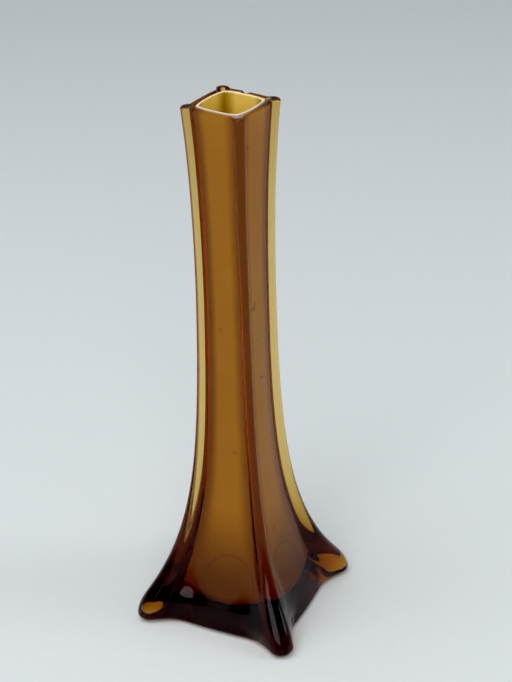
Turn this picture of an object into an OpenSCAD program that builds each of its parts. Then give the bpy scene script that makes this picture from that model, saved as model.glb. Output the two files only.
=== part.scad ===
// Bud vase of cased glass: a clear amber casing over a thin opal lining.
// The casing is a square stem with a rib at each corner. Every rib runs out into a rounded toe,
// and the four toes carry the vase. All shapes are rings of points, stacked up the axis.

/* [Overall] */
// Height from the table to the mouth
height = 230; // [180:1:300]
// Turn of the mouth against the toes, in degrees
twist = 9.4; // [0:0.1:15]

/* [Corner ribs] */
// Reach of the rib crests at the waist, from the axis
crest_reach = 16; // [15:0.25:18]
// How much further the crests would reach at the table
crest_foot = 40.5; // [38:0.5:46]
// Height over which the spread towards the toes falls away
crest_fall = 34; // [30:0.1:38]
// How much further the crests reach at the mouth
crest_lip = 3.2; // [0:0.1:5]
// Half width of a rib at the waist
rib_half = 1.9; // [1.5:0.1:2.3]
// How much wider each half of a rib is at the foot
rib_foot = 3.5; // [2:0.1:3.8]
// How much wider each half of a rib is at the mouth
rib_lip = 0.6; // [0:0.1:1]
// How much each side of a rib widens per millimetre further in, at the foot
splay_foot = 0.5; // [0.2:0.05:0.6]

/* [Toes] */
// Distance of a toe's round tip from the axis
toe_reach = 44.1; // [42:0.1:46]
// Length of a toe past that, and so the roundness of its tip
toe_r = 5; // [4.5:0.1:6]
// Rounding of a toe towards the table
toe_under = 3.5; // [3:0.1:5]
// How much of that rounding is ground flat where the toe stands
toe_ground = 0.3; // [0.1:0.05:0.6]
// Height of the underside above the table, between the toes
arch = 0.6; // [0.4:0.1:2]
// Height of the underside above the table, on the axis
dome = 2.6; // [2:0.1:3.5]

/* [Panels] */
// Distance of a panel from the axis at the waist
panel_reach = 10.8; // [9.5:0.1:11]
// How much further out a panel lies at the table
panel_foot = 20; // [17:0.5:21]
// Height over which the panels lean in
panel_fall = 41; // [36:1:46]
// How much further out a panel lies at the mouth
panel_lip = 2.4; // [0:0.1:3.5]
// Bulge of a panel, as a share of its distance from the axis
bulge = 0.055; // [0.02:0.005:0.08]
// Rounding where a rib grows out of the panels, along the stem
blend_stem = 2.2; // [1.5:0.1:4]
// The same rounding at the foot
blend_foot = 6; // [4:0.5:12]
// How far the panels sweep out along the toes at the table
web_foot = 4; // [2:0.5:8]

/* [Lining] */
// Thickness of the casing over the lining, along a panel at the mouth
casing_wall = 2.6; // [1.5:0.1:3.2]
// How much thicker the casing is at the foot
casing_foot = 2.4; // [1:0.1:4]
// Thickness of the lining
lining_wall = 0.7; // [0.5:0.1:1]
// Extra thickness of the lining in its corners
lining_corner = 0.5; // [0:0.1:0.8]
// Height of the lining's underside above the table
lining_floor = 10; // [8:0.5:14]
// Rounding of the lining at its foot
lining_round = 4; // [2:0.5:5]
// Height over which the lining turns from a round foot to a square stem
lining_bulb = 6; // [4:1:20]

/* [Hidden] */

// Height at which a toe is widest, and at which the stem starts to open to the mouth
toe_z = toe_under - toe_ground;
lip_from = 0.65 * height;
// Powers and falls of the curves that the shapes follow
lip_power = 2.5;
panel_power = 1.25;
rib_fall = 32;
rib_power = 1.6;
splay_fall = 28;
blend_fall = 18;
web_fall = 22;
// Angle from a rib within which the panels sweep out
web_angle = 21;
casing_fall = 25;
// Share of the splay that a toe loses at the table, and the height over which it comes back
splay_less = 0.6;
splay_toe = 7;
// Rounding where a toe meets the slope of its rib, and the depth of a rib's nose for its half width
toe_blend = 5;
nose = 0.95;
// Round edges of the foot and of the mouth
foot_edge = 2.2;
rim_edge = 0.8;
// Radii between which the underside comes down to the toes, and the height that still feels its arch
arch_from = 30;
arch_to = 41;
arch_top = 12;
// Angle from a rib within which the lining is thicker
corner_angle = 15;
// Half chord of a panel's bulge and of the lining's arcs, as a share of their distance from the axis
panel_chord = 0.9;
lining_chord = 0.89;

// Steps round one eighth of a ring: the rib's nose, the rib's side and half of a panel
NOSE = 5;
SIDE = 3;
PANEL = 4;
EIGHTH = NOSE + SIDE + PANEL;
RING = 8 * EIGHTH;
// Steps up the toe, the stem and the lining, in each round edge and under the foot
TOE = 5;
STEM = 26;
LINING = 12;
EDGE = 3;
UNDER = 5;
// How the steps are spaced: over 1, they are closer together at their start
PANEL_SPACING = 1.3;
STEM_SPACING = 1.1;
// The first ring under the foot lies at this share of a step
FIRST_UNDER = 0.6;
// The toe's rings stop this many degrees past its widest height, and the stem's start so far above it
TOE_PAST = 5;
STEM_GAP = 2;

function lerp(a, b, t) = a + (b - a) * t;
function smoothstep(t) = let(u = min(max(t, 0), 1)) u * u * (3 - 2 * u);
function smooth_max(a, b, k) = let(h = max(k - abs(a - b), 0) / k) max(a, b) + h * h * k / 4;
function smooth_min(a, b, k) = -smooth_max(-a, -b, k);
// How far an edge rounded to radius r cuts in, at height z over its start
function round_in(z, r) = z >= r ? 0 : r - sqrt(r * r - (r - z) * (r - z));
// Reach of an arc of this half chord and sagitta, at angle phi from the arc's middle
function arc_reach(a, chord, sag, phi) = let(r = (chord * chord + sag * sag) / (2 * sag), d = r - a)
    sqrt(r * r - pow(d * sin(phi), 2)) - d * cos(phi);

// ---- how each size changes with the height z ----

// Opening of the stem towards the mouth, from 0 to 1
function lip(z) = pow(max(0, z - lip_from) / (height - lip_from), lip_power);
// Width of a toe's underside, from 0 to 1
function toe_share(z) = z >= toe_z ? 1 : sqrt(1 - pow((toe_z - z) / toe_under, 2));
// Reach of a rib's crest
function crest(z) =
    let(slope = crest_reach + crest_foot * exp(-z / crest_fall) + crest_lip * lip(z))
    smooth_min(slope, toe_reach + toe_r * toe_share(z), toe_blend);
// Half width of a rib
function rib_w(z) =
    (rib_half + rib_foot * exp(-pow(z / rib_fall, rib_power)) + rib_lip * lip(z)) * toe_share(z);
// Widening of a rib's side per millimetre further in: a wedge at the foot, parallel up the stem
function splay(z) =
    splay_foot * exp(-pow(z / splay_fall, 2)) * (1 - splay_less * exp(-pow(z / splay_toe, 2)));
// Distance of a panel from the axis
function panel(z) =
    panel_reach + panel_foot * exp(-pow(z / panel_fall, panel_power)) + panel_lip * lip(z)
    - round_in(z, foot_edge);
// Rounding between a rib and its panels
function blend(z) = blend_stem + (blend_foot - blend_stem) * exp(-z / blend_fall);
// Distance of the lining's outside from the axis
function lining(z) =
    panel(z) - casing_wall - casing_foot * exp(-z / casing_fall) - round_in(z - lining_floor, lining_round);
// Direction of the ribs: the diagonals at the table, turned back by the twist at the mouth
function ring_turn(z) = 45 - twist * z / height;

// ---- the points of one eighth of a ring, from j = 0 on a rib's crest to EIGHTH in a panel's middle ----

// Point j of a rib's round nose, along and across the rib; the last one is where its side starts
function nose_point(z, j) =
    let(a = atan2(1 / nose, splay(z)) * j / NOSE)
    [crest(z) - nose * rib_w(z) * (1 - cos(a)), rib_w(z) * sin(a)];
// How far beside the axis the line of a rib's side would pass
function side_zero(z) = let(p = nose_point(z, NOSE)) p.y + splay(z) * p.x;
// Where the side would meet a flat panel, measured along the rib
function root(z) = (panel(z) * sqrt(2) - side_zero(z)) / (1 - splay(z));
function side_turn(z, t) =
    let(x = lerp(nose_point(z, NOSE).x, root(z), t)) atan2(side_zero(z) - splay(z) * x, x);
// Angle of point j from the rib
function turn(z, j) =
    j <= NOSE ? atan2(nose_point(z, j).y, nose_point(z, j).x) :
    j <= NOSE + SIDE ? side_turn(z, (j - NOSE) / SIDE) :
    lerp(side_turn(z, 1), 45, pow((j - NOSE - SIDE) / PANEL, PANEL_SPACING));
// Reach of the rib alone, of the bulged panel alone, and of the two blended
function rib_reach(z, j) =
    j < NOSE ? norm(nose_point(z, j)) : side_zero(z) / (sin(turn(z, j)) + splay(z) * cos(turn(z, j)));
function panel_only(z, j) = arc_reach(panel(z), panel_chord * panel(z), bulge * panel(z), 45 - turn(z, j))
    + web_foot * exp(-z / web_fall) * pow(max(0, 1 - turn(z, j) / web_angle), 2);
function casing_reach(z, j) = smooth_max(rib_reach(z, j), panel_only(z, j), blend(z));
// Reach of the lining: an arc over each panel, and the arcs meet in corners that point at the ribs.
// The foot of the lining is round.
function lining_arcs(z, j) =
    arc_reach(lining(z), lining_chord * lining(z), (1 - lining_chord) * lining(z), 45 - turn(z, j));
function lining_reach(z, j) =
    lerp(lining(z), lining_arcs(z, j), smoothstep((z - lining_floor) / lining_bulb));
// Thickness of the lining
function lining_skin(z, j) = lining_wall + lining_corner * (1 - smoothstep(turn(z, j) / corner_angle));

// ---- whole rings ----

// Point i of a ring is point eighth(i) of an eighth, either side of a panel's middle
function eighth(i) = let(k = i % (2 * EIGHTH)) min(k, 2 * EIGHTH - k);
function before_middle(i) = i % (2 * EIGHTH) <= EIGHTH;
function angle(z, i) =
    ring_turn(z) + 90 * floor(i / (2 * EIGHTH))
    + (before_middle(i) ? turn(z, eighth(i)) : 90 - turn(z, eighth(i)));
function polar(r, a, z) = [r * cos(a), r * sin(a), z];
// Height of the underside: it arches up between the toes, and more on the axis
function lift(r) =
    arch * (1 - smoothstep((r - arch_from) / (arch_to - arch_from)))
    + (dome - arch) * pow(max(0, 1 - pow(r / arch_from, 2)), 2);
function raised(z, r) = z + lift(r) * pow(max(0, 1 - z / arch_top), 2);

function casing_ring(z, inset = 0) = [for (i = [0 : RING - 1])
    let(r = casing_reach(z, eighth(i)) - inset) polar(r, angle(z, i), raised(z, r))];
function under_ring(share) = [for (i = [0 : RING - 1])
    let(r = share * casing_reach(0, eighth(i))) polar(r, angle(0, i), lift(r))];
function lining_ring(z) = [for (i = [0 : RING - 1])
    polar(lining_reach(z, eighth(i)), angle(z, i), z)];
function bore_ring(z) = [for (i = [0 : RING - 1])
    let(j = eighth(i), floor_skin = lining_wall * max(0, 1 - (z - lining_floor) / lining_round))
    polar(lining_reach(z, j) - lining_skin(z, j), angle(z, i), z + floor_skin)];

// Heights of the rings: by angle in a round edge, and closer together towards both ends of the stem
function spread(from, to, n) =
    [for (i = [0 : n]) lerp(from, to, (1 - cos(180 * pow(i / n, STEM_SPACING))) / 2)];
toe_heights = [for (i = [1 : TOE])
    toe_z - toe_under * cos(lerp(acos(toe_z / toe_under), 90 + TOE_PAST, i / TOE))];
stem_heights = spread(toe_z + STEM_GAP, height - rim_edge, STEM);
round_heights = [for (i = [0 : EDGE - 1]) lining_floor + lining_round * (1 - cos(90 * i / EDGE))];
lining_heights = concat(round_heights, spread(lining_floor + lining_round, height, LINING));

under = [for (i = [1 : UNDER]) under_ring((i - 1 + FIRST_UNDER) / UNDER)];
outside = [for (z = concat([0], toe_heights, stem_heights)) casing_ring(z)];
rim = [for (i = [1 : EDGE]) let(a = 90 * i / EDGE)
    casing_ring(height - rim_edge * (1 - sin(a)), rim_edge * (1 - cos(a)))];
skin = [for (z = lining_heights) lining_ring(z)];
bore = [for (z = lining_heights) bore_ring(z)];

function reversed(list) = [for (i = [len(list) - 1 : -1 : 0]) list[i]];

// A closed solid from rings that run from a pole under it, up its outside and back down its inside.
// The first up_to rings are split along one diagonal and the rest along the other, so that two
// solids that share a wall split it alike.
module lathe(bottom, rings, top, up_to) {
    n = len(rings);
    points = concat([bottom], [for (r = rings) each r], [top]);
    function at(k, i) = 1 + k * RING + i % RING;
    start = [for (i = [0 : RING - 1]) [0, at(0, i), at(0, i + 1)]];
    up = [for (k = [0 : up_to - 2], i = [0 : RING - 1]) each
        [[at(k, i), at(k + 1, i), at(k + 1, i + 1)], [at(k, i), at(k + 1, i + 1), at(k, i + 1)]]];
    down = [for (k = [up_to - 1 : n - 2], i = [0 : RING - 1]) each
        [[at(k, i), at(k + 1, i), at(k, i + 1)], [at(k + 1, i), at(k + 1, i + 1), at(k, i + 1)]]];
    end = [for (i = [0 : RING - 1]) [at(n - 1, i), len(points) - 1, at(n - 1, i + 1)]];
    polyhedron(points, concat(start, up, down, end), convexity = 8);
}

// The amber glass: stem, ribs, solid foot and toes, hollow for the lining
module amber_casing() {
    color([0.62, 0.38, 0.05]) lathe(
        bottom = [0, 0, dome],
        rings = concat(under, outside, rim, reversed(skin)),
        top = [0, 0, lining_floor],
        up_to = len(under) + len(outside) + len(rim));
}

// The opal glass: a thin bulb fused to the inside of the casing
module opal_lining() {
    color([0.93, 0.82, 0.6]) lathe(
        bottom = [0, 0, lining_floor],
        rings = concat(skin, reversed(bore)),
        top = [0, 0, lining_floor + lining_wall],
        up_to = len(skin));
}

amber_casing();
opal_lining();
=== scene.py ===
# %% [markdown]
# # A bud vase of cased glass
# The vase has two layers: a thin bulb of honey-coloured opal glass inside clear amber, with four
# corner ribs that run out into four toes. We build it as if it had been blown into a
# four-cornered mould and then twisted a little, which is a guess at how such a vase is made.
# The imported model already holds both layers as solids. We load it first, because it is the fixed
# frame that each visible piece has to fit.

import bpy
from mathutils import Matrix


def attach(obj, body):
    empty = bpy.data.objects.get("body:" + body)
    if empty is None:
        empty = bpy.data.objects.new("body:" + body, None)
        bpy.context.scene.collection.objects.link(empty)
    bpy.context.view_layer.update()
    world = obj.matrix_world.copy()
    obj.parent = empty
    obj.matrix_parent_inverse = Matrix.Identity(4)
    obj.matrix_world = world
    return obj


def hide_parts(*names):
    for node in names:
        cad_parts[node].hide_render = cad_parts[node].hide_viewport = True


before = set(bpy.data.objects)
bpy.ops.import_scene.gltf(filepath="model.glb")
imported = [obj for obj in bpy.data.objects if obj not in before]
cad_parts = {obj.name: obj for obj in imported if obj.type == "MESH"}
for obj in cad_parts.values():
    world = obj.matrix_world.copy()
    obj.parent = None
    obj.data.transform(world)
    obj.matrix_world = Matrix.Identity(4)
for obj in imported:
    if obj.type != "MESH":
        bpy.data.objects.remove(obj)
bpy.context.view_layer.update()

# %% Tools from Blender and from Python
import math
import bpy
import numpy as np
from mathutils import Matrix, Vector

MM = 0.001

# %% [markdown]
# ## The two glasses
# Glass is made by its light, not by paint. For the amber we could tint the surface, but then a
# thin rib and the thick foot would have one colour. Real amber glass swallows blue and green
# along the way that light goes inside it, so the colour sits in a Volume Absorption node: pale
# yellow through a rib, brown through a corner and almost black through the foot.
#
# Both glasses carry smudges that dull the polish, and slow ripples, and the opal shows specks and
# clouds as well. We build that once, as a shader node group, and give each glass its own values.

# %% Small helpers for nodes, materials, objects and points
def add_node(tree, kind, inputs=None, **settings):
    """Adds a node; an input is a plain value, or another node's output to link."""
    node = tree.nodes.new(kind)
    for name, value in settings.items():
        setattr(node, name, value)
    for name, value in (inputs or {}).items():
        if isinstance(value, bpy.types.NodeSocket):
            tree.links.new(value, node.inputs[name])
        else:
            node.inputs[name].default_value = value
    return node

def empty_material(name):
    """A new material whose node tree is empty, and that tree."""
    material = bpy.data.materials.new(name)
    material.use_nodes = True
    material.node_tree.nodes.clear()
    return material, material.node_tree

def add_to_scene(name, data):
    """A new object in the scene, around this mesh, light or camera."""
    thing = bpy.data.objects.new(name, data)
    bpy.context.scene.collection.objects.link(thing)
    return thing

def points_of(mesh):
    """The points of a mesh, one row of three for each."""
    places = np.zeros(3 * len(mesh.vertices))
    mesh.vertices.foreach_get("co", places)
    return places.reshape(-1, 3)

# %% The shared effect: smudges, ripples, specks and clouds
SMUDGE_FROM, SMUDGE_FULL = 0.54, 0.74
SPECK_SCALE, SPECK_FROM, SPECK_FULL = 190.0, 0.70, 0.78

def build_glass_traces():
    group = bpy.data.node_groups.new("Glass Traces", "ShaderNodeTree")
    for name, value in (("Smudge Size", 0.02), ("Polish", 0.02), ("Smudged", 0.2),
                        ("Ripple Size", 0.03), ("Seed", 0.0)):
        socket = group.interface.new_socket(name, in_out="INPUT", socket_type="NodeSocketFloat")
        socket.default_value = value
    for name in ("Roughness", "Ripple", "Cloud", "Seeds"):
        group.interface.new_socket(name, in_out="OUTPUT", socket_type="NodeSocketFloat")
    given = group.nodes.new("NodeGroupInput").outputs
    place = add_node(group, "ShaderNodeTexCoord").outputs["Object"]
    smudge_scale = add_node(group, "ShaderNodeMath", {0: 1.0, 1: given["Smudge Size"]},
                            operation="DIVIDE").outputs[0]
    ripple_scale = add_node(group, "ShaderNodeMath", {0: 1.0, 1: given["Ripple Size"]},
                            operation="DIVIDE").outputs[0]
    smudges = add_node(group, "ShaderNodeTexNoise",
                       {"Vector": place, "W": given["Seed"], "Scale": smudge_scale,
                        "Detail": 4.0, "Roughness": 0.62, "Distortion": 0.6},
                       noise_dimensions="4D").outputs["Fac"]
    # Only the stronger parts of the pattern show as smudges
    mask = add_node(group, "ShaderNodeMapRange",
                    {"Value": smudges, "From Min": SMUDGE_FROM, "From Max": SMUDGE_FULL},
                    interpolation_type="SMOOTHSTEP").outputs["Result"]
    rough = add_node(group, "ShaderNodeMapRange",
                     {"Value": mask, "To Min": given["Polish"], "To Max": given["Smudged"]})
    # Sparse small specks, like grit caught in hot glass. Noise places them
    grit = add_node(group, "ShaderNodeTexNoise",
                    {"Vector": place, "W": given["Seed"], "Scale": SPECK_SCALE, "Detail": 1.0},
                    noise_dimensions="4D")
    seeds = add_node(group, "ShaderNodeMapRange", {"Value": grit.outputs["Fac"],
                                                   "From Min": SPECK_FROM, "From Max": SPECK_FULL})
    ripples = add_node(group, "ShaderNodeTexNoise",
                       {"Vector": place, "W": given["Seed"], "Scale": ripple_scale,
                        "Detail": 1.5, "Roughness": 0.4}, noise_dimensions="4D")
    add_node(group, "NodeGroupOutput",
             {"Roughness": rough.outputs["Result"], "Ripple": ripples.outputs["Fac"],
              "Cloud": smudges, "Seeds": seeds.outputs["Result"]})
    return group

glass_traces = build_glass_traces()
print("group", glass_traces.name, "puts out", [s.name for s in glass_traces.interface.items_tree
                                               if s.in_out == "OUTPUT"])

# %% The amber: clear glass that absorbs blue most, then green, and red least
AMBER_IOR = 1.5
# A level of 0.5 would leave the reflection that the IOR gives. This is lower because the foot and
# the panels looked too grey. It is a choice of look: the glass reflects less than it should
SPECULAR_LEVEL = 0.1
CORD_STRETCH = (220, 220, 14)
CORD_TINT = (0.95, 0.93, 0.88, 1)
# Light lost per metre of glass, in red, green and blue
AMBER_LOSS = (36.0, 106.0, 330.0)

def build_amber_glass():
    material, tree = empty_material("amber_glass")
    traces = add_node(tree, "ShaderNodeGroup", node_tree=glass_traces)
    for name, value in (("Smudge Size", 0.016), ("Polish", 0.0), ("Smudged", 0.09),
                        ("Ripple Size", 0.022), ("Seed", 3.0)):
        traces.inputs[name].default_value = value
    bump = add_node(tree, "ShaderNodeBump", {"Height": traces.outputs["Ripple"],
                                             "Strength": 0.25, "Distance": 0.0008})
    # Faint cords: streaks of slightly deeper colour along the stem
    place = add_node(tree, "ShaderNodeTexCoord").outputs["Object"]
    drawn = add_node(tree, "ShaderNodeMapping", {"Vector": place, "Scale": CORD_STRETCH})
    cords = add_node(tree, "ShaderNodeTexNoise", {"Vector": drawn.outputs[0], "Scale": 1.0,
                                                  "Detail": 2.0})
    tint = add_node(tree, "ShaderNodeMix",
                    {"Factor": cords.outputs["Fac"], "A": (1, 1, 1, 1), "B": CORD_TINT},
                    data_type="RGBA")
    glass = add_node(tree, "ShaderNodeBsdfPrincipled",
                     {"Base Color": tint.outputs["Result"], "Metallic": 0.0, "IOR": AMBER_IOR,
                      "Transmission Weight": 1.0, "Specular IOR Level": SPECULAR_LEVEL,
                      "Roughness": traces.outputs["Roughness"],
                      "Normal": bump.outputs["Normal"]})
    strongest = max(AMBER_LOSS)
    kept = [1 - loss / strongest for loss in AMBER_LOSS]
    body = add_node(tree, "ShaderNodeVolumeAbsorption",
                    {"Color": (*kept, 1), "Density": strongest})
    add_node(tree, "ShaderNodeOutputMaterial",
             {"Surface": glass.outputs[0], "Volume": body.outputs[0]})
    return material

amber_glass = build_amber_glass()
print("4 mm of amber lets through", [round(math.exp(-loss * 0.004), 2) for loss in AMBER_LOSS])

# %% [markdown]
# Opal glass scatters light inside itself and looks like porcelain. A plain honey-coloured surface
# stands in for that here. Its edge at the mouth is almost white. A second material on the edge
# would leave a hard line, so one material blends between the two by height.
#
# Behind the ribs and towards the foot the honey is darkened with painted shade, because both looked
# too bright without it. Why they are darker on the real vase isn't known, and the layer isn't thinner
# there.

# %% The opal: honey on its walls and pale on the edge at the mouth
HONEY = (0.93, 0.70, 0.22, 1)
HONEY_CLOUD = (0.84, 0.59, 0.15, 1)
CORNER_SHADE_HONEY = (0.46, 0.29, 0.04, 1)
SHADE_AND_SPECK_HONEY = (0.30, 0.13, 0.008, 1)
PALE_EDGE = (0.97, 0.86, 0.72, 1)
# Heights in metres: painted shade deepens the honey from the first to the second, the edge pales over
# the last two
SHADE_STARTS_AT, SHADE_FULL_AT = 0.056, 0.016
PALE_FROM, PALE_FULL = 0.22972, 0.22988

# %% A faint arch of painted shade low on each panel
FAINT_WIDE, FAINT_HIGH, FAINT_LOW, FAINT_SOFT = 0.013, 0.021, 0.012, 0.05
FAINT_ASIDE = (-0.003, 0.003, 0)
SPECK_AND_SHADE_STRENGTH = 0.45

def arch_shade_mask(tree, place):
    """A mask for painted shade that is 1 on an ellipse, whose upper half shows on each panel, and 0 off
    it.
    """
    moved = add_node(tree, "ShaderNodeVectorMath", {0: place, 1: FAINT_ASIDE}, operation="ADD")
    split = add_node(tree, "ShaderNodeSeparateXYZ", {0: moved.outputs[0]}).outputs
    aside = [add_node(tree, "ShaderNodeMath", {0: split[axis]}, operation="ABSOLUTE").outputs[0]
             for axis in ("X", "Y")]
    across = add_node(tree, "ShaderNodeMath", {0: aside[0], 1: aside[1]}, operation="MINIMUM")
    wide = add_node(tree, "ShaderNodeMath", {0: across.outputs[0], 1: FAINT_WIDE},
                    operation="DIVIDE")
    above = add_node(tree, "ShaderNodeMath", {0: split["Z"], 1: FAINT_LOW}, operation="SUBTRACT")
    high = add_node(tree, "ShaderNodeMath", {0: above.outputs[0], 1: FAINT_HIGH},
                    operation="DIVIDE")
    spot = add_node(tree, "ShaderNodeCombineXYZ", {"X": wide.outputs[0], "Z": high.outputs[0]})
    away = add_node(tree, "ShaderNodeVectorMath", {0: spot.outputs[0]}, operation="LENGTH")
    near = add_node(tree, "ShaderNodeMath", {0: away.outputs["Value"], 1: 1.0},
                    operation="SUBTRACT")
    distance = add_node(tree, "ShaderNodeMath", {0: near.outputs[0]}, operation="ABSOLUTE")
    line = add_node(tree, "ShaderNodeMapRange", {"Value": distance.outputs[0], "From Min": 0.0,
                                                 "From Max": FAINT_SOFT, "To Min": 1.0,
                                                 "To Max": 0.0}, interpolation_type="SMOOTHSTEP")
    return line.outputs["Result"]

# %% The opal material
def build_opal_glass():
    material, tree = empty_material("opal_glass")
    traces = add_node(tree, "ShaderNodeGroup", node_tree=glass_traces)
    for name, value in (("Smudge Size", 0.03), ("Polish", 0.32), ("Smudged", 0.5),
                        ("Ripple Size", 0.012), ("Seed", 8.0)):
        traces.inputs[name].default_value = value
    bump = add_node(tree, "ShaderNodeBump", {"Height": traces.outputs["Ripple"],
                                             "Strength": 0.2, "Distance": 0.0005})
    honey = add_node(tree, "ShaderNodeMix", {"Factor": traces.outputs["Cloud"], "A": HONEY,
                                             "B": HONEY_CLOUD}, data_type="RGBA")
    place = add_node(tree, "ShaderNodeTexCoord").outputs["Object"]
    height = add_node(tree, "ShaderNodeSeparateXYZ", {0: place}).outputs["Z"]
    # Painted shade: the honey darkens towards the foot
    low = add_node(tree, "ShaderNodeMapRange", {"Value": height, "From Min": SHADE_STARTS_AT,
                                                "From Max": SHADE_FULL_AT},
                   interpolation_type="SMOOTHSTEP")
    with_low_shade = add_node(tree, "ShaderNodeMix", {"Factor": low.outputs["Result"],
                                                 "A": honey.outputs["Result"], "B": SHADE_AND_SPECK_HONEY},
                         data_type="RGBA")
    # Painted shade behind the ribs, where the corner mask is 1
    corner = add_node(tree, "ShaderNodeAttribute", attribute_name="corner")
    with_corner_shade = add_node(tree, "ShaderNodeMix",
                         {"Factor": corner.outputs["Fac"], "A": with_low_shade.outputs["Result"],
                          "B": CORNER_SHADE_HONEY}, data_type="RGBA")
    # Painted shade in an arch low on each panel, mixed in with the real specks of grit
    arch = arch_shade_mask(tree, place)
    specks_and_arch_shade = add_node(tree, "ShaderNodeMath", {0: arch, 1: traces.outputs["Seeds"]},
                     operation="MAXIMUM", use_clamp=True)
    scaled_specks_and_shade = add_node(tree, "ShaderNodeMath", {0: specks_and_arch_shade.outputs[0], 1: SPECK_AND_SHADE_STRENGTH},
                      operation="MULTIPLY")
    with_specks_and_shade = add_node(tree, "ShaderNodeMix",
                          {"Factor": scaled_specks_and_shade.outputs[0], "A": with_corner_shade.outputs["Result"],
                           "B": SHADE_AND_SPECK_HONEY}, data_type="RGBA")
    edge = add_node(tree, "ShaderNodeMapRange", {"Value": height, "From Min": PALE_FROM,
                                                 "From Max": PALE_FULL})
    colour = add_node(tree, "ShaderNodeMix", {"Factor": edge.outputs["Result"],
                                              "A": with_specks_and_shade.outputs["Result"], "B": PALE_EDGE},
                      data_type="RGBA")
    opal = add_node(tree, "ShaderNodeBsdfPrincipled",
                    {"Base Color": colour.outputs["Result"], "Metallic": 0.0, "IOR": 1.5,
                     "Transmission Weight": 0.0, "Roughness": traces.outputs["Roughness"],
                     "Normal": bump.outputs["Normal"]})
    add_node(tree, "ShaderNodeOutputMaterial", {"Surface": opal.outputs[0]})
    return material

opal_glass = build_opal_glass()
print(opal_glass.name, "has", len(opal_glass.node_tree.nodes), "nodes")

# %% [markdown]
# ## The rule of the shape
# Every level of the vase is one ring: a square with slightly bulged sides, and a round-nosed rib
# on each corner. Only a few sizes change with the height z, and each of them follows a curve.
# We write the curves as functions of z in millimetres, and both layers use them. Sculpting the
# stem by hand would lose the even flow of the ribs into the toes.

# %% How far the ribs reach, and how wide they are
HEIGHT = 230
TWIST = math.radians(9.4)
LIP_FROM, LIP_POWER = 0.65 * HEIGHT, 2.5
CREST_REACH, CREST_FOOT, CREST_FALL, CREST_LIP = 16, 40.5, 34, 3.2
RIB_HALF, RIB_FOOT, RIB_FALL, RIB_POWER, RIB_LIP = 1.9, 3.5, 32, 1.6, 0.6
SPLAY_FOOT, SPLAY_FALL, SPLAY_LESS, SPLAY_TOE = 0.5, 28, 0.6, 7
TOE_REACH, TOE_ROUND, TOE_UNDER, TOE_GROUND, TOE_BLEND = 44.1, 5, 3.5, 0.3, 5
TOE_WIDEST = TOE_UNDER - TOE_GROUND

def smoothstep(share):
    """A share from 0 to 1 that starts and ends softly."""
    return share ** 2 * (3 - 2 * share)

def gentle_max(a, b, k):
    """The larger of two lengths, with the corner between them rounded over k."""
    near = np.maximum(k - abs(a - b), 0) / k
    return np.maximum(a, b) + near * near * k / 4

def lip_share(z):
    """How far the stem has opened towards the mouth, from 0 to 1."""
    return (np.maximum(0, z - LIP_FROM) / (HEIGHT - LIP_FROM)) ** LIP_POWER

def toe_share(z):
    """How much of its full width a toe has, where it rounds in towards the table."""
    return np.sqrt(1 - (np.maximum(0, TOE_WIDEST - z) / TOE_UNDER) ** 2)

def crest(z):
    """Reach of a rib's crest: the slope of the rib, stopped softly by the toe's round tip."""
    slope = CREST_REACH + CREST_FOOT * np.exp(-z / CREST_FALL) + CREST_LIP * lip_share(z)
    return -gentle_max(-slope, -(TOE_REACH + TOE_ROUND * toe_share(z)), TOE_BLEND)

def rib_half(z):
    """Half the width of a rib."""
    flare = RIB_FOOT * np.exp(-(z / RIB_FALL) ** RIB_POWER)
    return (RIB_HALF + flare + RIB_LIP * lip_share(z)) * toe_share(z)

def splay(z):
    """How much a rib widens for each millimetre that it lies further in: a wedge at the foot."""
    return SPLAY_FOOT * np.exp(-(z / SPLAY_FALL) ** 2) * (1 - SPLAY_LESS * np.exp(-(z / SPLAY_TOE) ** 2))

heights = np.array([0.0, 60.0, 120.0, 230.0])
print("crests reach", crest(heights).round(1), "mm; ribs are", (2 * rib_half(heights)).round(1), "wide")

# %% How far out the panels and the lining lie
PANEL_REACH, PANEL_FOOT, PANEL_FALL, PANEL_LIP = 10.8, 20, 41, 2.4
PANEL_POWER = 1.25
FOOT_EDGE = 2.2
CASING_WALL, CASING_FOOT, CASING_FALL = 2.6, 2.4, 25
LINING_FLOOR, LINING_ROUND = 10, 4

def round_in(z, radius):
    """How far an edge rounded to this radius cuts in, at height z over its start."""
    z = np.clip(z, 0, radius)
    return radius - np.sqrt(radius ** 2 - (radius - z) ** 2)

def panel(z):
    """Distance of a panel from the axis."""
    foot = PANEL_FOOT * np.exp(-(z / PANEL_FALL) ** PANEL_POWER)
    return PANEL_REACH + foot + PANEL_LIP * lip_share(z) - round_in(z, FOOT_EDGE)

def lining(z):
    """Distance of the lining from the axis: a panel less the casing's wall."""
    wall = CASING_WALL + CASING_FOOT * np.exp(-z / CASING_FALL)
    return panel(z) - wall - round_in(z - LINING_FLOOR, LINING_ROUND)

print("panels lie at", panel(heights).round(1), "mm and the lining at", lining(heights).round(1))

# %% [markdown]
# ## One eighth of a ring
# A ring repeats itself eight times, each time mirrored. So we only place points from a rib's
# crest (0 degrees) to the middle of a panel (45 degrees): round the nose, down the rib's side,
# then across half a panel. Rib and panel are blended, so that no crease is left between them.

# %% The angles of one eighth, and the reach of the casing at each
NOSE_STEPS, SIDE_STEPS, PANEL_STEPS = 9, 7, 20
NOSE = 0.95
PANEL_SPACING = 1.3
BULGE, PANEL_CHORD = 0.055, 0.9
BLEND_STEM, BLEND_FOOT, BLEND_FALL = 2.2, 6, 18
WEB_FOOT, WEB_FALL, WEB_ANGLE = 4, 22, math.radians(21)
QUARTER = math.pi / 2
EIGHTH = math.pi / 4

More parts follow.
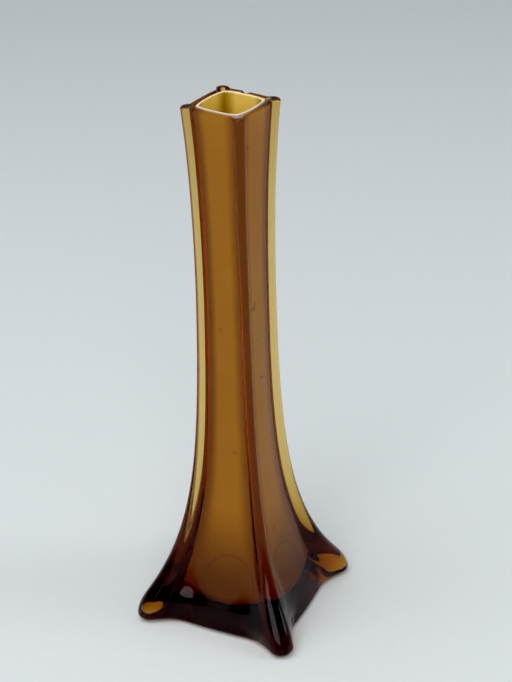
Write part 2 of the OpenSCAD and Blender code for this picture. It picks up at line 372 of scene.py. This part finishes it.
def arc_reach(distance, half_chord, sagitta, angle):
    """Reach of an arc that crosses the panel's middle at this distance."""
    radius = (half_chord ** 2 + sagitta ** 2) / (2 * sagitta)
    centre = radius - distance
    return np.sqrt(radius ** 2 - (centre * np.sin(angle)) ** 2) - centre * np.cos(angle)

def nose_points(z):
    """Points along and across the rib, round its nose to where its straight side starts."""
    half = rib_half(z)
    start = crest(z) - NOSE * half
    turn = np.arctan2(1 / NOSE, splay(z)) * np.linspace(0, 1, NOSE_STEPS + 1)
    return start + NOSE * half * np.cos(turn), half * np.sin(turn)

def eighth_angles(z):
    """Angles from the rib, one row for each height."""
    along, across = nose_points(z)
    slope = splay(z)
    start, wide = along[:, -1:], across[:, -1:]
    root = (panel(z) * math.sqrt(2) - wide - slope * start) / (1 - slope)
    inwards = start + (root - start) * np.arange(1, SIDE_STEPS + 1) / SIDE_STEPS
    side = np.arctan2(wide + slope * (start - inwards), inwards)
    share = (np.arange(1, PANEL_STEPS + 1) / PANEL_STEPS) ** PANEL_SPACING
    flat = side[:, -1:] + (EIGHTH - side[:, -1:]) * share
    return np.concatenate([np.arctan2(across, along), side, flat], axis=1)

def casing_reach(z, angles):
    """Reach of the casing at these angles: its rib and its bulged panel, blended."""
    along, across = nose_points(z)
    slope = splay(z)
    side = (across[:, -1:] + slope * along[:, -1:]) / (np.sin(angles) + slope * np.cos(angles) + 1e-9)
    rib = np.concatenate([np.hypot(along, across), side[:, NOSE_STEPS + 1:]], axis=1)
    flat = arc_reach(panel(z), PANEL_CHORD * panel(z), BULGE * panel(z), EIGHTH - angles)
    web = WEB_FOOT * np.exp(-z / WEB_FALL) * np.maximum(0, 1 - angles / WEB_ANGLE) ** 2
    blend = BLEND_STEM + (BLEND_FOOT - BLEND_STEM) * np.exp(-z / BLEND_FALL)
    return gentle_max(rib, flat + web, blend)

# %% The lining's reach: an arc over each panel, and corners that point at the ribs
LINING_CHORD = 0.89
LINING_WALL, LINING_CORNER, CORNER_ANGLE = 0.7, 0.5, math.radians(15)
LINING_BULB = 6

def lining_reach(z, angles):
    """The lining's outside: round at its floor, and square above it."""
    at = lining(z)
    share = np.clip((z - LINING_FLOOR) / LINING_BULB, 0, 1)
    arcs = arc_reach(at, LINING_CHORD * at, (1 - LINING_CHORD) * at, EIGHTH - angles)
    return at + (arcs - at) * smoothstep(share)

def bore_reach(z, angles):
    """The lining's inside: its outside less its wall, which is thicker in the corners."""
    share = np.clip(angles / CORNER_ANGLE, 0, 1)
    corner = 1 - smoothstep(share)
    return lining_reach(z, angles) - LINING_WALL - LINING_CORNER * corner

# %% [markdown]
# ## From rings to a quarter of glass
# A layer is a closed skin: up its outside, over the rim, and down its inside to a pole. We write
# the rings of one quarter, from the middle of one panel over a rib to the middle of the next,
# and join neighbouring rings with faces. Both ends close in a pole on the axis.

# %% Turn eighths into quarter rings and rings into a mesh
def quarter_ring(angles, reach, z):
    """Points of a quarter ring, from an eighth and its mirror image."""
    both = np.concatenate([-angles[::-1], angles[1:]])
    out = np.concatenate([reach[::-1], reach[1:]])
    level = np.broadcast_to(z, reach.shape)
    level = np.concatenate([level[::-1], level[1:]])
    return np.stack([out * np.cos(both), out * np.sin(both), level], axis=1) * MM

def quarter_mesh(name, bottom, rings, top):
    """A mesh of quarter rings between two poles on the axis, with its faces outwards."""
    count = len(rings[0])
    points = np.concatenate([[(0, 0, bottom * MM)], *rings, [(0, 0, top * MM)]])
    last = len(points) - 1
    faces = [(0, 2 + i, 1 + i) for i in range(count - 1)]
    for k in range(len(rings) - 1):
        low = 1 + k * count
        high = low + count
        faces += [(low + i, low + i + 1, high + i + 1, high + i) for i in range(count - 1)]
    end = last - count
    faces += [(end + i, end + i + 1, last) for i in range(count - 1)]
    mesh = bpy.data.meshes.new(name)
    mesh.from_pydata(points.tolist(), [], faces)
    return mesh

# %% Heights of the rings, closer together where the shape turns fast
def spread(start, end, steps, power=1.1):
    """Heights from start to end, closer together at both ends."""
    share = (np.arange(steps + 1) / steps) ** power
    return start + (end - start) * (1 - np.cos(math.pi * share)) / 2

TOE_STEPS, STEM_STEPS, EDGE_STEPS, UNDER_STEPS, BORE_STEPS = 12, 100, 7, 12, 64
RIM_EDGE = 0.8
TOE_PAST, STEM_GAP = 0.1, 0.8
lowest = math.acos(TOE_WIDEST / TOE_UNDER)
toe_heights = TOE_WIDEST - TOE_UNDER * np.cos(np.linspace(lowest, QUARTER + TOE_PAST, TOE_STEPS))
stem_heights = spread(TOE_WIDEST + STEM_GAP, HEIGHT - RIM_EDGE, STEM_STEPS)
outside_heights = np.concatenate([[0.0], toe_heights[1:], stem_heights])
turns = np.linspace(0, QUARTER, EDGE_STEPS + 1)
floor_heights = LINING_FLOOR + LINING_ROUND * (1 - np.cos(turns[:-1]))
bore_heights = np.concatenate([floor_heights, spread(LINING_FLOOR + LINING_ROUND, HEIGHT, BORE_STEPS)])
print(len(outside_heights), "rings up the outside and", len(bore_heights), "down the bore")

# %% The underside: it arches up between the toes, and more on the axis
ARCH, DOME, ARCH_FROM, ARCH_TO, ARCH_TOP = 0.6, 2.6, 30, 41, 12

def lift(reach):
    """Height of the underside over the table at this distance from the axis."""
    share = np.clip((reach - ARCH_FROM) / (ARCH_TO - ARCH_FROM), 0, 1)
    arch = ARCH * (1 - smoothstep(share))
    return arch + (DOME - ARCH) * np.maximum(0, 1 - (reach / ARCH_FROM) ** 2) ** 2

def raised(z, reach):
    """The height z of a ring, lifted near the table as the underside is."""
    return z + lift(reach) * np.maximum(0, 1 - z / ARCH_TOP) ** 2

# %% The quarter of the amber casing
# The rim falls by this much towards the lining
RIM_DIP = 0.12

def casing_quarter():
    rings = []
    foot_angles = eighth_angles(np.zeros((1, 1)))
    foot_reach = casing_reach(np.zeros((1, 1)), foot_angles)[0]
    for share in (np.arange(1, UNDER_STEPS + 1) - 0.5) / UNDER_STEPS:
        rings.append(quarter_ring(foot_angles[0], share * foot_reach, lift(share * foot_reach)))
    for z in outside_heights:
        angles = eighth_angles(np.full((1, 1), z))
        reach = casing_reach(np.full((1, 1), z), angles)[0]
        rings.append(quarter_ring(angles[0], reach, raised(z, reach)))
    for turn in turns[1:]:
        z = HEIGHT - RIM_EDGE * (1 - math.sin(turn))
        angles = eighth_angles(np.full((1, 1), z))
        reach = casing_reach(np.full((1, 1), z), angles)[0] - RIM_EDGE * (1 - math.cos(turn))
        rings.append(quarter_ring(angles[0], reach, z))
    for z in bore_heights[::-1]:
        angles = eighth_angles(np.full((1, 1), z))
        reach = lining_reach(np.full((1, 1), z), angles)[0]
        rings.append(quarter_ring(angles[0], reach, min(z, HEIGHT - RIM_DIP)))
    return quarter_mesh("casing_quarter", DOME, rings, LINING_FLOOR)

casing_part = casing_quarter()
print("a quarter of the casing has", len(casing_part.polygons), "faces")

# %% [markdown]
# The two layers are fused, so no air lies between them. If both meshes shared one wall, the
# renderer couldn't tell which comes first, and a gap would show as a silver skin. So the lining's
# outside reaches a tenth of a millimetre into the amber.

# %% The quarter of the opal lining
OVERLAP = 0.1
BEAD_STEPS, BEAD_SINK, BEAD_RISE = 6, 0.4, 0.35

def lining_quarter():
    rings = []
    for z in bore_heights[:-1]:
        angles = eighth_angles(np.full((1, 1), z))
        reach = lining_reach(np.full((1, 1), z), angles)[0] + OVERLAP
        sink = OVERLAP * max(0, 1 - (z - LINING_FLOOR) / LINING_ROUND)
        rings.append(quarter_ring(angles[0], reach, z - sink))
    # The edge at the mouth is a low bead
    angles = eighth_angles(np.full((1, 1), float(HEIGHT)))
    outer = lining_reach(np.full((1, 1), float(HEIGHT)), angles)[0] + OVERLAP
    inner = bore_reach(np.full((1, 1), float(HEIGHT)), angles)[0]
    for turn in np.linspace(0, math.pi, 2 * BEAD_STEPS + 1):
        reach = (outer + inner) / 2 + (outer - inner) / 2 * math.cos(turn)
        rings.append(quarter_ring(angles[0], reach, HEIGHT - BEAD_SINK + BEAD_RISE * math.sin(turn)))
    for z in bore_heights[-2::-1]:
        angles = eighth_angles(np.full((1, 1), z))
        reach = bore_reach(np.full((1, 1), z), angles)[0]
        skin = LINING_WALL * max(0, 1 - (z - LINING_FLOOR) / LINING_ROUND)
        rings.append(quarter_ring(angles[0], reach, z + skin))
    return quarter_mesh("lining_quarter", LINING_FLOOR - OVERLAP, rings, LINING_FLOOR + LINING_WALL)

lining_part = lining_quarter()

# %% Mark the lining's corners, where the opal material paints shade behind the ribs
CORNER_SPREAD = math.radians(24)

def mark_corner_shade(mesh):
    """Stores the mask of painted shade on each point: 1 on the line behind a rib, 0 from CORNER_SPREAD
    on.
    """
    places = points_of(mesh)
    share = np.clip(1 - np.abs(np.arctan2(places[:, 1], places[:, 0])) / CORNER_SPREAD, 0, 1)
    corner = mesh.attributes.new("corner", "FLOAT", "POINT")
    corner.data.foreach_set("value", smoothstep(share))

mark_corner_shade(lining_part)
print("a quarter of the lining has", len(lining_part.polygons), "faces")

# %% [markdown]
# ## The four-cornered mould
# What the mould does to the glass is a rule: the same quarter four times round the axis, and a
# slow twist from foot to mouth. Geometry Nodes are made for that. The tree below sets copies of
# the quarter on points, welds them, twists the whole by height, and adds the slight unevenness
# of glass that was worked by hand. We could copy and join in Python, but in the tree every size
# stays a named input that can still be changed.

# %% The tree's inputs
def build_mould_tree():
    tree = bpy.data.node_groups.new("Four-Cornered Mould", "GeometryNodeTree")
    face = tree.interface
    face.new_socket("Quarter", in_out="INPUT", socket_type="NodeSocketGeometry")
    for name, kind, value in (("Corners", "NodeSocketInt", 4),
                              ("First Corner", "NodeSocketFloat", EIGHTH),
                              ("Twist", "NodeSocketFloat", 0.0),
                              ("Height", "NodeSocketFloat", 1.0),
                              ("Weld", "NodeSocketFloat", 0.00001),
                              ("Unevenness", "NodeSocketFloat", 0.0),
                              ("Wave Length", "NodeSocketFloat", 0.05),
                              ("Steady Below", "NodeSocketFloat", 0.02),
                              ("Seed", "NodeSocketFloat", 0.0)):
        face.new_socket(name, in_out="INPUT", socket_type=kind).default_value = value
    face.new_socket("Glass", in_out="INPUT", socket_type="NodeSocketMaterial")
    face.new_socket("Vase", in_out="OUTPUT", socket_type="NodeSocketGeometry")
    return tree

mould = build_mould_tree()
given = mould.nodes.new("NodeGroupInput").outputs

# %% Copies of the quarter round the axis, welded to one skin
full_turn = 2 * math.pi
corner_points = add_node(mould, "GeometryNodeMeshLine", {"Count": given["Corners"],
                                                         "Offset": (0, 0, 0)})
step = add_node(mould, "ShaderNodeMath", {0: full_turn, 1: given["Corners"]}, operation="DIVIDE")
number = add_node(mould, "GeometryNodeInputIndex")
turned = add_node(mould, "ShaderNodeMath", {0: number.outputs[0], 1: step.outputs[0],
                                            2: given["First Corner"]}, operation="MULTIPLY_ADD")
facing = add_node(mould, "ShaderNodeCombineXYZ", {"Z": turned.outputs[0]})
copies = add_node(mould, "GeometryNodeInstanceOnPoints",
                  {"Points": corner_points.outputs[0], "Instance": given["Quarter"],
                   "Rotation": facing.outputs[0]})
one_skin = add_node(mould, "GeometryNodeRealizeInstances", {0: copies.outputs[0]})
welded = add_node(mould, "GeometryNodeMergeByDistance", {"Geometry": one_skin.outputs[0],
                                                         "Distance": given["Weld"]})

# %% The twist, which grows with the height, and the unevenness of hand work
place = add_node(mould, "GeometryNodeInputPosition").outputs[0]
level = add_node(mould, "ShaderNodeSeparateXYZ", {0: place}).outputs["Z"]
rise = add_node(mould, "ShaderNodeMath", {0: level, 1: given["Height"]}, operation="DIVIDE")
wound = add_node(mould, "ShaderNodeMath", {0: rise.outputs[0], 1: given["Twist"]},
                 operation="MULTIPLY")
twisted = add_node(mould, "ShaderNodeVectorRotate", {"Vector": place, "Angle": wound.outputs[0]},
                   rotation_type="Z_AXIS")
pitch = add_node(mould, "ShaderNodeMath", {0: 1.0, 1: given["Wave Length"]}, operation="DIVIDE")
waves = add_node(mould, "ShaderNodeTexNoise", {"Vector": place, "W": given["Seed"],
                                               "Scale": pitch.outputs[0], "Detail": 1.0},
                 noise_dimensions="4D")
centred = add_node(mould, "ShaderNodeVectorMath", {0: waves.outputs["Color"],
                                                   1: (0.5, 0.5, 0.5)}, operation="SUBTRACT")
free = add_node(mould, "ShaderNodeMapRange", {"Value": level, "From Min": 0.0,
                                              "From Max": given["Steady Below"]})
amount = add_node(mould, "ShaderNodeMath", {0: free.outputs["Result"],
                                            1: given["Unevenness"]}, operation="MULTIPLY")
sideways = add_node(mould, "ShaderNodeVectorMath", {0: centred.outputs[0], 1: (2, 2, 0)},
                    operation="MULTIPLY")
wobble = add_node(mould, "ShaderNodeVectorMath", {0: sideways.outputs[0],
                                                  "Scale": amount.outputs[0]}, operation="SCALE")
shaped = add_node(mould, "GeometryNodeSetPosition",
                  {"Geometry": welded.outputs[0], "Position": twisted.outputs[0],
                   "Offset": wobble.outputs[0]})

# %% The tree ends in plain geometry with its material
smooth = add_node(mould, "GeometryNodeSetShadeSmooth", {"Geometry": shaped.outputs[0]})
plain = add_node(mould, "GeometryNodeRealizeInstances", {0: smooth.outputs[0]})
glazed = add_node(mould, "GeometryNodeSetMaterial", {"Geometry": plain.outputs[0],
                                                     "Material": given["Glass"]})
add_node(mould, "NodeGroupOutput", {"Vase": glazed.outputs[0]})
print("the mould tree has", len(mould.nodes), "nodes")

# %% [markdown]
# Each quarter now goes through the mould. We set the tree's inputs by their identifiers before
# the object is evaluated for the first time, take the result as a plain mesh, and drop the
# modifier, so that the piece is ordinary geometry on the origin.

# %% Run a quarter through the mould
UNEVENNESS, WAVE_LENGTH, STEADY_BELOW = 0.00018, 0.045, 0.03
WELD = 0.00001

def blow(name, quarter, glass):
    """The whole layer from its quarter, as a plain mesh object."""
    helper = add_to_scene(name + "_quarter", quarter)
    modifier = helper.modifiers.new("mould", "NODES")
    modifier.node_group = mould
    values = {"Corners": 4, "First Corner": EIGHTH, "Twist": -TWIST, "Height": HEIGHT * MM,
              "Weld": WELD, "Unevenness": UNEVENNESS, "Wave Length": WAVE_LENGTH,
              "Steady Below": STEADY_BELOW, "Seed": 5.0, "Glass": glass}
    for socket in mould.interface.items_tree:
        if socket.name in values:
            modifier[socket.identifier] = values[socket.name]
    ready = helper.evaluated_get(bpy.context.evaluated_depsgraph_get())
    mesh = bpy.data.meshes.new_from_object(ready)
    mesh.name = name
    bpy.data.objects.remove(helper)
    return add_to_scene(name, mesh)

def closed_and_outwards(mesh):
    """The count of open edges, and the volume in cubic millimetres: positive if faces point out."""
    mesh.calc_loop_triangles()
    corners = points_of(mesh) / MM
    triangles = np.zeros(len(mesh.loop_triangles) * 3, dtype=int)
    mesh.loop_triangles.foreach_get("vertices", triangles)
    a, b, c = (corners[triangles[i::3]] for i in range(3))
    volume = np.einsum("ij,ij->i", a, np.cross(b, c)).sum() / 6
    uses = {}
    for key in (key for face in mesh.polygons for key in face.edge_keys):
        uses[key] = uses.get(key, 0) + 1
    return sum(count != 2 for count in uses.values()), round(volume), len(triangles) // 3

amber_casing = blow("amber_casing_glass", casing_part, amber_glass)
opal_lining = blow("opal_lining_glass", lining_part, opal_glass)
for piece in (amber_casing, opal_lining):
    print(piece.name, "open edges, mm3, triangles:", *closed_and_outwards(piece.data))

# %% [markdown]
# ## A chip on the rim
# Thin rims chip, and behind the mouth the outer edge has a notch that looks like one. A bump map
# couldn't change the outline of the rim, so we push the few points near it down and inwards.

# %% Press the chip into the casing's rim
CHIP_TURN, CHIP_ROUND, CHIP_DEEP = math.radians(86), 1.7, 0.9
CHIP_INWARDS, CHIP_DOWN, CHIP_ASIDE = 0.45, 0.9, 1.0

def press_chip(mesh):
    """Moves the points near the chip's middle, most at the middle and not at all at its edge."""
    places = points_of(mesh) / MM
    facing = np.array([math.cos(CHIP_TURN), math.sin(CHIP_TURN)])
    ahead = places[:, :2] @ facing
    beside = np.abs(places[:, :2] @ np.array([-facing[1], facing[0]]))
    in_line = (beside < CHIP_ASIDE) & (places[:, 2] > HEIGHT - RIM_EDGE)
    middle = np.array([*(facing * ahead[in_line].max()), HEIGHT])
    away = np.linalg.norm(places - middle, axis=1)
    share = np.maximum(0, 1 - (away / CHIP_ROUND) ** 2)
    push = np.array([-CHIP_INWARDS * facing[0], -CHIP_INWARDS * facing[1], -CHIP_DOWN])
    places += share[:, None] * CHIP_DEEP * push
    mesh.vertices.foreach_set("co", (places * MM).ravel())
    mesh.update()
    return int((share > 0).sum())

print("the chip moved", press_chip(amber_casing.data), "points of the rim")

# %% Give each piece its body, and hide the CAD node it stands for
for piece, node, finish in ((amber_casing, "amber_casing", "amber_glass"),
                            (opal_lining, "opal_lining", "opal_glass")):
    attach(piece, "root")
    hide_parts(node)

# %% [markdown]
# ## The studio
# The vase stands on a pale sheet that has no edge: a wide disc whose rim curves up all round.
# A plane would do for one view, but its horizon would show in the others.

# %% The paper sweep
SWEEP_FLAT, SWEEP_CURVE, SWEEP_WALL = 2.0, 1.0, 2.2
SWEEP_SIDES, SWEEP_STEPS = 96, 16
# A film of air, so that the ground toes and the paper aren't the same surface
AIR_UNDER = 0.00008

def build_sweep():
    profile = [(0.3, -AIR_UNDER), (1.0, -AIR_UNDER), (SWEEP_FLAT, -AIR_UNDER)]
    for turn in np.linspace(0, QUARTER, SWEEP_STEPS + 1)[1:]:
        profile.append((SWEEP_FLAT + SWEEP_CURVE * math.sin(turn),
                        SWEEP_CURVE * (1 - math.cos(turn))))
    profile.append((SWEEP_FLAT + SWEEP_CURVE, SWEEP_WALL))
    points = [(0, 0, -AIR_UNDER)]
    for reach, level in profile:
        for i in range(SWEEP_SIDES):
            turn = 2 * math.pi * i / SWEEP_SIDES
            points.append((reach * math.cos(turn), reach * math.sin(turn), level))
    faces = [(0, 1 + i, 1 + (i + 1) % SWEEP_SIDES) for i in range(SWEEP_SIDES)]
    for k in range(len(profile) - 1):
        low = 1 + k * SWEEP_SIDES
        high = low + SWEEP_SIDES
        for i in range(SWEEP_SIDES):
            j = (i + 1) % SWEEP_SIDES
            faces.append((low + i, high + i, high + j, low + j))
    mesh = bpy.data.meshes.new("paper_sweep")
    mesh.from_pydata(points, [], faces)
    mesh.shade_smooth()
    return add_to_scene("paper_sweep", mesh)

paper_sweep = build_sweep()
print("the sweep is", 2 * (SWEEP_FLAT + SWEEP_CURVE), "m wide")

# %% The paper: pale and matt, with a faint mottle
PAPER_DARK, PAPER_LIGHT = (0.80, 0.835, 0.845, 1), (0.83, 0.86, 0.865, 1)

def build_paper():
    material, tree = empty_material("studio_paper")
    place = add_node(tree, "ShaderNodeTexCoord").outputs["Object"]
    mottle = add_node(tree, "ShaderNodeTexNoise", {"Vector": place, "Scale": 260.0, "Detail": 3.0})
    colour = add_node(tree, "ShaderNodeMix",
                      {"Factor": mottle.outputs["Fac"], "A": PAPER_DARK, "B": PAPER_LIGHT},
                      data_type="RGBA")
    paper = add_node(tree, "ShaderNodeBsdfPrincipled",
                     {"Base Color": colour.outputs["Result"], "Roughness": 0.9})
    add_node(tree, "ShaderNodeOutputMaterial", {"Surface": paper.outputs[0]})
    return material

paper_sweep.data.materials.append(build_paper())

# %% [markdown]
# Glass shows its surroundings more than its own surface, so the lights are large and few: a wide
# soft panel above, a larger one in front for the panels, and a tall narrow one at the right.

# %% Soft lights: place, aim, width, height and power
def add_panel_light(name, place, aim, width, height, watts):
    data = bpy.data.lights.new(name, "AREA")
    data.shape = "RECTANGLE"
    data.size = width
    data.size_y = height
    data.energy = watts
    lamp = add_to_scene(name, data)
    lamp.location = place
    lamp.rotation_euler = (Vector(aim) - Vector(place)).to_track_quat("-Z", "Y").to_euler()
    print(name, "gives", watts, "W over", width, "by", height, "m")

add_panel_light("top_panel", (-0.25, -0.35, 1.3), (0, 0, 0.05), 1.1, 1.1, 6.8)
add_panel_light("front_panel", (0.4, -1.8, 1.2), (0, 0, 0.12), 1.8, 1.8, 13)
add_panel_light("right_panel", (1.0, 0.35, 0.7), (0, 0, 0.12), 0.35, 1.0, 2.2)

AIR_COLOUR, AIR_STRENGTH = (0.93, 0.97, 1.0, 1), 0.3
world = bpy.data.worlds.new("studio_air")
world.use_nodes = True
air = world.node_tree.nodes["Background"].inputs
air["Color"].default_value = AIR_COLOUR
air["Strength"].default_value = AIR_STRENGTH
bpy.context.scene.world = world

# %% [markdown]
# ## The camera
# A long lens that looks down by 29 degrees, turned towards one corner of the vase, so that two
# panels and three toes show. It looks just beside the axis and leans by 1.7 degrees.

# %% Place the camera
CAMERA_ROUND, CAMERA_UP = math.radians(25.67), math.radians(29.12)
CAMERA_AWAY, CAMERA_AIM = 0.6786, 0.1271
CAMERA_PAN, CAMERA_LEAN = math.radians(0.633), math.radians(-1.687)
LENS_MM, SENSOR_MM = 117.65, 36

def build_camera():
    """The camera, by its turn and rise around the aim and its pan and lean on the spot."""
    data = bpy.data.cameras.new("studio_camera")
    data.sensor_fit = "HORIZONTAL"
    data.sensor_width = SENSOR_MM
    data.lens = LENS_MM
    data.clip_start = 0.01
    camera = add_to_scene("studio_camera", data)
    back = Vector((math.sin(CAMERA_ROUND) * math.cos(CAMERA_UP),
                   -math.cos(CAMERA_ROUND) * math.cos(CAMERA_UP), math.sin(CAMERA_UP)))
    right = Vector((math.cos(CAMERA_ROUND), math.sin(CAMERA_ROUND), 0))
    up = back.cross(right)
    camera.location = Vector((0, 0, CAMERA_AIM)) + back * CAMERA_AWAY
    pan = Matrix.Rotation(-CAMERA_PAN, 3, up)
    lean = Matrix.Rotation(CAMERA_LEAN, 3, back)
    axes = pan @ lean @ Matrix((right, up, back)).transposed()
    camera.rotation_euler = axes.to_euler()
    bpy.context.scene.camera = camera
    return camera

camera = build_camera()
print("camera at", [round(part, 3) for part in camera.location])

# %% [markdown]
# ## Render settings that glass needs
# Inside the ribs and the foot, light can be turned back many times before it comes out. A path
# that runs out of bounces counts as black, so we allow more of them than Blender does by default.

# %% Bounces and tones
scene = bpy.context.scene
GLASS_BOUNCES, GLOSSY_BOUNCES, BLACK_LEVEL = 24, 12, 0.022
scene.cycles.max_bounces = GLASS_BOUNCES
scene.cycles.transmission_bounces = GLASS_BOUNCES
scene.cycles.glossy_bounces = GLOSSY_BOUNCES
scene.view_settings.view_transform = "Standard"
scene.view_settings.look = "Medium High Contrast"
scene.view_settings.use_curve_mapping = True
scene.view_settings.curve_mapping.black_level = [BLACK_LEVEL] * 3
